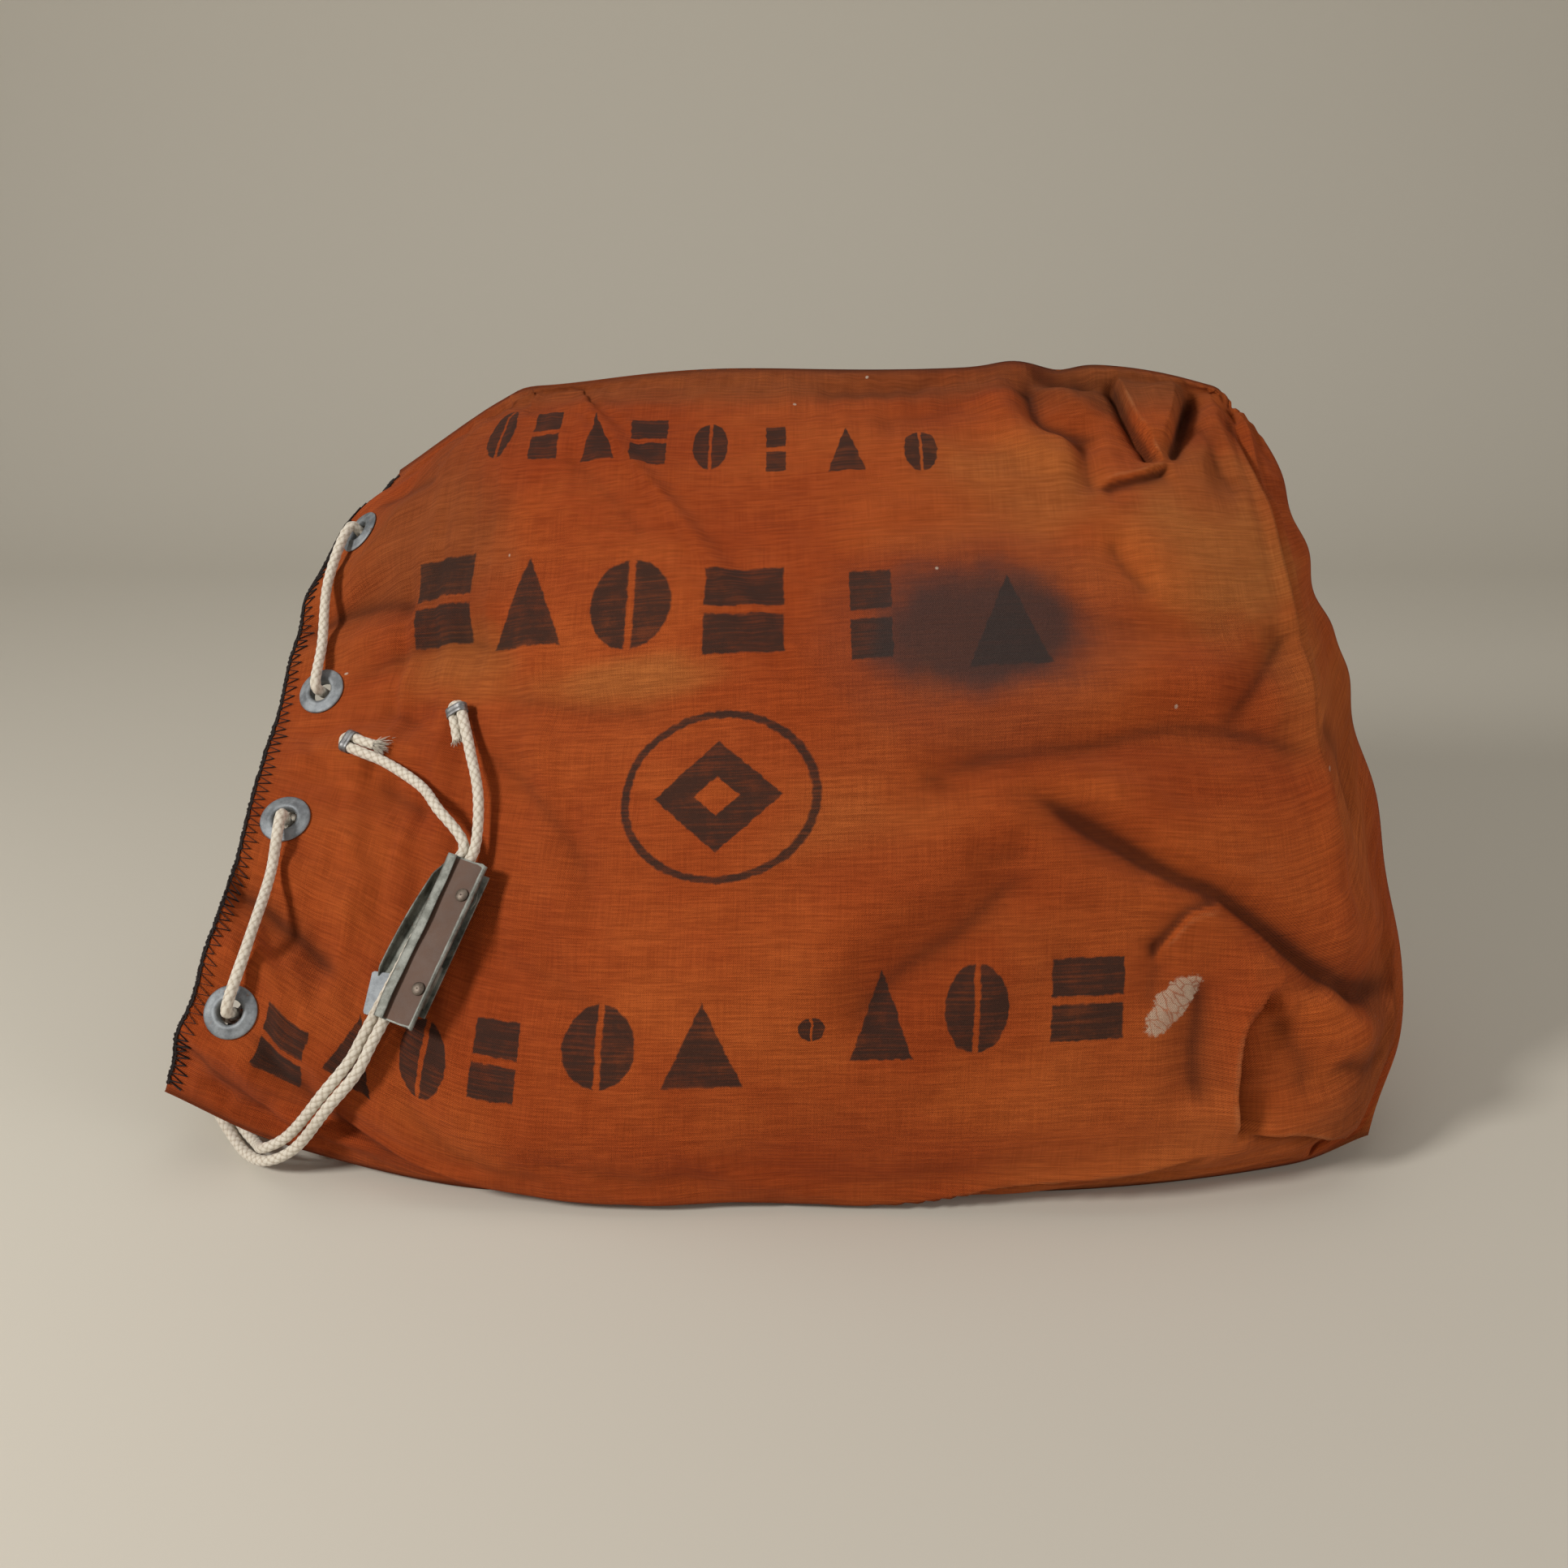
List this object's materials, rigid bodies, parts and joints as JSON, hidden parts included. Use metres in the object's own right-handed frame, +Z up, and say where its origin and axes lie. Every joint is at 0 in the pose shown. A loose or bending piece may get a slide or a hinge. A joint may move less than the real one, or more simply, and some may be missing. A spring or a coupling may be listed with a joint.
{
  "type": "canvas mail sack",
  "caption": "Filled rust-orange canvas sack lying on its side, mouth laced through metal eyelets with a braided cord that ends in a riveted sheet-metal cord fastener.",
  "frame": {"origin": "middle of the sack's footprint on the surface it lies on", "axes": "+X from the laced mouth to the bottom seam, -Y towards the printed front, +Z up"},
  "size_m": [0.6364, 0.3284, 0.3732],
  "materials": {
    "canvas": "coarse cotton duck, rust orange, faded in patches and stained",
    "thread": "black overcast thread",
    "cord": "off-white braided cotton",
    "eyelet_metal": "dull galvanised",
    "clip_metal": "dull plated",
    "painted_plate": "brown paint worn to bare steel on the edges",
    "aged_steel": "grey-green tarnish",
    "rivet_metal": "worn bright"
  },
  "bodies": {
    "sack": {"front_panel": "canvas", "back_panel": "canvas", "edge_thread_front": "thread", "edge_thread_back": "thread", "eyelet_front_1": "eyelet_metal", "washer_front_1": "eyelet_metal", "eyelet_front_2": "eyelet_metal", "washer_front_2": "eyelet_metal", "eyelet_front_3": "eyelet_metal", "washer_front_3": "eyelet_metal", "eyelet_front_4": "eyelet_metal", "washer_front_4": "eyelet_metal", "eyelet_back_1": "eyelet_metal", "washer_back_1": "eyelet_metal", "eyelet_back_2": "eyelet_metal", "washer_back_2": "eyelet_metal", "eyelet_back_3": "eyelet_metal", "washer_back_3": "eyelet_metal", "eyelet_back_4": "eyelet_metal", "washer_back_4": "eyelet_metal", "cord_lace": "cord", "cord_tail_left": "cord", "cord_end_left": "cord", "end_clip_left": "clip_metal", "cord_tail_right": "cord", "cord_end_right": "cord", "end_clip_right": "clip_metal"},
    "fastener": {"label_plate": "painted_plate", "fastener_back": "aged_steel", "rivet_upper": "rivet_metal", "rivet_lower": "rivet_metal", "fixed_jaw": "aged_steel", "pivot_spacer": "rivet_metal"},
    "lever": {"jaw_lever": "aged_steel"}
  },
  "joints": [
    {"name": "fastener_slide", "type": "slide", "parent": "sack", "child": "fastener", "axis": [0.4202, 0.5543, 0.7185], "range_m": [-0.005, 0.004]},
    {"name": "lever_pivot", "type": "hinge", "parent": "fastener", "child": "lever", "pos_m": [-0.16105, -0.0839, 0.13292], "axis": [0.2252, 0.7033, -0.6743], "range_deg": [0, 13]}
  ]
}
